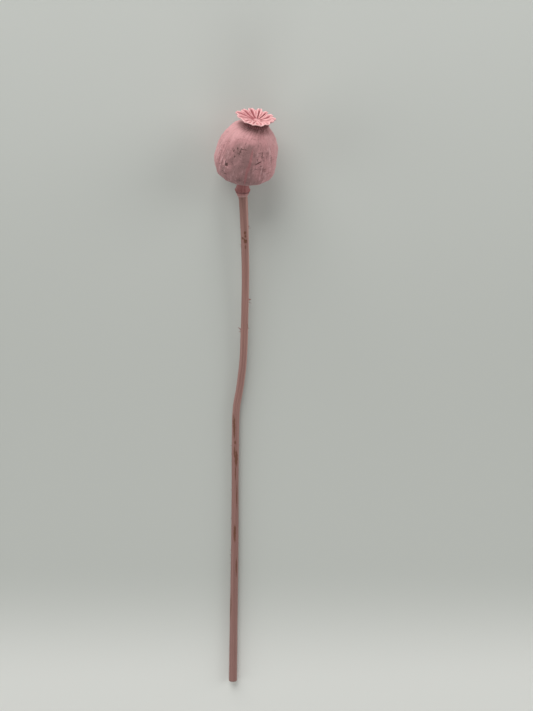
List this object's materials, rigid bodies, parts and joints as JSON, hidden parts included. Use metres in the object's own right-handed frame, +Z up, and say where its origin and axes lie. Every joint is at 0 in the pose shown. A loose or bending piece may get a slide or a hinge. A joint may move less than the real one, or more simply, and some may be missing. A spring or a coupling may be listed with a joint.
{
  "type": "poppy seed head",
  "caption": "Dried poppy seed head: a round ribbed capsule under a crown of spread rays, on a long bent cut stem with a receptacle ring, lying on a table.",
  "frame": {"origin": "on the table, at the middle of the small flat spot that the capsule rests on", "axes": "+Z up from the table, +Y along the stem from its cut end towards the head, +X to the right when seen from above with the head at the far end"},
  "size_m": [0.0395, 0.3893, 0.0388],
  "materials": {
    "stem_paint": "matt brownish pink paint, thin and streaked, over a dried stem",
    "capsule_paint": "chalky matt pink paint over a dried, finely ribbed capsule wall",
    "crown_paint": "chalky matt pink paint, thickest on the rays"
  },
  "bodies": {
    "root": {"stem": "stem_paint", "seed_capsule": "capsule_paint", "stigma_crown": "crown_paint"}
  },
  "joints": []
}
